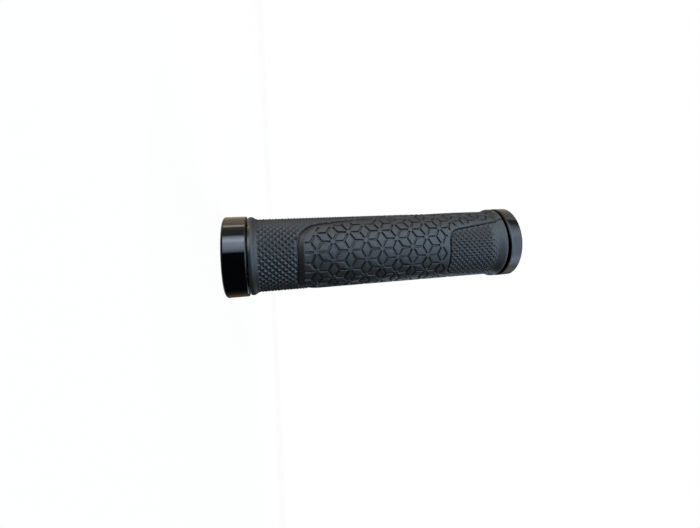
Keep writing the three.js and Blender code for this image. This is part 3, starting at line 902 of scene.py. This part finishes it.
def painted_reflection_glow(name, strength, stops):
    """The glow of a painted reflection, whose colour goes by the turn from -Y towards +X, with stops in
    degrees.
    """
    made = bpy.data.materials.new(name)
    made.use_nodes = True
    tree = made.node_tree
    tree.nodes.clear()
    place = tree.nodes.new("ShaderNodeTexCoord")
    split = tree.nodes.new("ShaderNodeSeparateXYZ")
    tree.links.new(place.outputs["Object"], split.inputs["Vector"])
    away = tree.nodes.new("ShaderNodeMath")
    away.operation = "MULTIPLY"
    away.inputs[1].default_value = -1
    tree.links.new(split.outputs["Y"], away.inputs[0])
    turn = tree.nodes.new("ShaderNodeMath")
    turn.operation = "ARCTAN2"
    tree.links.new(split.outputs["X"], turn.inputs[0])
    tree.links.new(away.outputs[0], turn.inputs[1])
    share = tree.nodes.new("ShaderNodeMapRange")
    share.inputs["From Min"].default_value = -math.pi
    share.inputs["From Max"].default_value = math.pi
    tree.links.new(turn.outputs[0], share.inputs["Value"])
    glow = tree.nodes.new("ShaderNodeEmission")
    glow.inputs["Strength"].default_value = strength
    output = tree.nodes.new("ShaderNodeOutputMaterial")
    colours = ramp(tree, share.outputs[0], [((degrees + 180) / 360, colour) for degrees, colour in stops])
    tree.links.new(colours, glow.inputs["Color"])
    tree.links.new(glow.outputs[0], output.inputs["Surface"])
    return made


def add_painted_reflection(name, outline, strength, stops):
    """A painted reflection: a glowing (radius, height) outline swept round the grip's axis, seen only in
    reflections.
    """
    bm = bmesh.new()
    angles = [360 * i / CARD_COLUMNS for i in range(CARD_COLUMNS)]
    rows = [[bm.verts.new(on_grip(angle, r, z) * MM) for angle in angles] for r, z in outline]
    for low, high in zip(rows, rows[1:]):
        for i in range(CARD_COLUMNS):
            k = (i + 1) % CARD_COLUMNS
            bm.faces.new([low[i], high[i], high[k], low[k]])
    card = object_from(name, bm)
    card.data.materials.append(painted_reflection_glow(name, strength, stops))
    card.visible_camera = False
    card.visible_diffuse = False
    card.visible_shadow = False
    card.visible_transmission = False


def add_painted_floor_reflections():
    """Painted reflections of the floor, seen only in the grip's gloss, with painted shade close by and on
    the far side.
    """
    # Painted shadow: the floor's reflection is made dark close to the grip, and a painted window light
    # lies further out
    add_painted_reflection("painted_near_floor_reflection", [(16, CARD_HEIGHT), (34, CARD_HEIGHT)], ROOM_REFLECTION_GLOW, [
        (-180, 0.03), (-90, (0.06, 0.05, 0.04)), (-50, 0.08), (-10, (0.015, 0.018, 0.02)),
        (10, (0.004, 0.006, 0.006)), (60, (0.002, 0.003, 0.003)), (140, 0.02),
    ])
    add_painted_reflection("painted_middle_floor_reflection", [(34, CARD_HEIGHT), (100, CARD_HEIGHT)], ROOM_REFLECTION_GLOW, [
        (-180, 0.03), (-92, (0.12, 0.1, 0.08)), (-72, (0.36, 0.36, 0.35)), (-54, (0.42, 0.44, 0.45)),
        (-38, (0.2, 0.23, 0.24)), (-15, (0.03, 0.04, 0.04)), (5, (0.002, 0.003, 0.003)),
        (60, (0.002, 0.003, 0.003)), (140, 0.02),
    ])
    add_painted_reflection("painted_far_floor_reflection", [(100, CARD_HEIGHT), (240, CARD_HEIGHT), (700, CARD_HEIGHT)], ROOM_REFLECTION_GLOW, [
        (-180, 0.03), (-90, (0.14, 0.12, 0.1)), (-60, (0.26, 0.3, 0.33)), (-30, (0.26, 0.32, 0.39)),
        (-8, (0.14, 0.18, 0.23)), (12, (0.02, 0.03, 0.04)), (60, (0.002, 0.003, 0.003)), (140, 0.02),
    ])


def add_painted_room_reflections():
    """Painted reflections of the room round the grip, glowing only in reflections: a wide window at one
    side and a lamp behind.
    """
    add_painted_reflection("painted_low_room_reflection", [(700, CARD_HEIGHT), (690, 120), (658, 239)], ROOM_REFLECTION_GLOW, [
        (-180, 0.02), (-140, (0.035, 0.032, 0.028)), (-110, (0.07, 0.062, 0.052)),
        (-92, (0.29, 0.24, 0.18)), (-75, (0.46, 0.43, 0.38)), (-52, (0.49, 0.54, 0.59)),
        (-24, (0.47, 0.56, 0.66)), (-4, (0.3, 0.37, 0.46)), (18, (0.05, 0.06, 0.08)),
        (45, (0.008, 0.01, 0.012)), (90, (0.005, 0.008, 0.007)), (125, 0.01), (180, 0.02),
    ])
    add_painted_reflection("painted_high_room_reflection", [(658, 239), (606, 350), (495, 495)], ROOM_REFLECTION_GLOW, [
        (-180, 0.04), (-140, (0.05, 0.045, 0.04)), (-110, (0.06, 0.055, 0.05)), (-90, (0.12, 0.12, 0.11)),
        (-74, (0.26, 0.29, 0.31)), (-58, (0.42, 0.55, 0.68)), (-20, (0.48, 0.64, 0.82)),
        (15, (0.4, 0.54, 0.71)), (50, (0.21, 0.29, 0.37)), (75, (0.02, 0.03, 0.03)), (120, 0.02),
        (140, (0.2, 0.24, 0.28)), (165, (0.2, 0.24, 0.28)), (180, 0.04),
    ])
    add_painted_reflection("painted_room_top_reflection", [(495, 495), (350, 606), (60, 697)], ROOM_REFLECTION_GLOW, [
        (-180, 0.04), (-110, (0.06, 0.055, 0.05)), (-90, (0.15, 0.14, 0.12)), (-60, (0.26, 0.31, 0.36)),
        (-20, (0.33, 0.42, 0.52)), (15, (0.3, 0.4, 0.52)), (50, (0.18, 0.24, 0.3)),
        (75, (0.02, 0.03, 0.03)), (120, 0.02), (140, (0.2, 0.24, 0.28)), (165, (0.2, 0.24, 0.28)),
        (180, 0.04),
    ])


def add_painted_ring_reflections():
    """Painted reflections for the rings' polished faces: a glowing card beside the wide one, and a glowing
    band high over the grip.
    """
    # Black and dim are painted dark reflections, and the bright stops are painted reflected bands
    black = (0.003, 0.004, 0.005)
    dim = (0.047, 0.05, 0.048)
    add_painted_reflection("painted_wide_ring_reflection", [(18.6, CARD_HEIGHT), (18.6, 9.3)], RING_REFLECTION_GLOW, [
        (-180, dim), (-135, (0.06, 0.05, 0.042)), (-100, (0.1, 0.083, 0.066)), (-78, (0.12, 0.098, 0.077)),
        (-65, (0.19, 0.155, 0.118)), (-56.5, (0.2, 0.162, 0.12)), (-55, (0.66, 0.56, 0.5)),
        (-52.5, (0.66, 0.56, 0.5)), (-51, (0.1, 0.09, 0.07)), (-42, (0.04, 0.048, 0.04)), (-34, dim),
        (-30.5, (0.45, 0.5, 0.56)), (-25, (0.76, 0.86, 0.97)), (-21, (0.5, 0.57, 0.67)),
        (-16, (0.41, 0.47, 0.57)), (-10, (0.25, 0.3, 0.35)), (-8, (0.15, 0.18, 0.22)), (-6, black),
        (62, black), (72, (0.02, 0.014, 0.01)), (85, (0.035, 0.026, 0.017)), (110, black),
        (140, (0.1, 0.12, 0.15)), (160, (0.3, 0.35, 0.42)), (164, black),
    ])
    add_painted_reflection("painted_high_reflection", [(45, 141.5), (45, 158)], RING_REFLECTION_GLOW, [
        (-180, dim), (-150, (0.05, 0.042, 0.034)), (-78, (0.14, 0.13, 0.115)), (-67.5, (0.2, 0.19, 0.18)),
        (-63.5, (0.045, 0.043, 0.04)), (-51.5, (0.045, 0.043, 0.04)), (-42.5, (0.13, 0.145, 0.155)),
        (-31.5, (0.25, 0.3, 0.35)), (-21, (0.35, 0.41, 0.48)), (-7.5, (0.26, 0.31, 0.38)),
        (36.5, (0.27, 0.32, 0.4)), (53, (0.38, 0.43, 0.53)), (66.5, (0.25, 0.28, 0.33)),
        (78, (0.13, 0.14, 0.14)), (110, (0.06, 0.055, 0.045)), (125, black), (150, (0.1, 0.12, 0.15)),
        (168, (0.3, 0.35, 0.42)), (172, black),
    ])


def build_grip():
    rubber = rubber_material()
    ring = ring_material()
    bolt = bolt_material()
    wide_middle = WIDE_RING_WIDTH / 2
    narrow_start = GRIP_LENGTH - NARROW_RING_WIDTH
    narrow_middle = narrow_start + NARROW_RING_WIDTH / 2
    dress(object_from("sleeve_skin", sleeve_mesh()), rubber, "rubber_sleeve")
    dress(core_tube("core_skin"), core_material(), "core_tube")
    wide_ring = clamp_ring("wide_ring_skin", 0, WIDE_RING_WIDTH, sleeve_above=True)
    narrow_ring = clamp_ring("narrow_ring_skin", narrow_start, NARROW_RING_WIDTH, sleeve_above=False)
    dress(wide_ring, ring, "wide_clamp_ring")
    dress(narrow_ring, ring, "narrow_clamp_ring")
    dress(clamp_bolt("wide_bolt_skin", wide_middle), bolt, "wide_ring_bolt")
    dress(clamp_bolt("narrow_bolt_skin", narrow_middle), bolt, "narrow_ring_bolt")


add_camera()
add_world()
add_floor()
add_lights()
add_painted_floor_reflections()
add_painted_room_reflections()
add_painted_ring_reflections()
build_grip()
bpy.context.scene.view_settings.view_transform = "Standard"
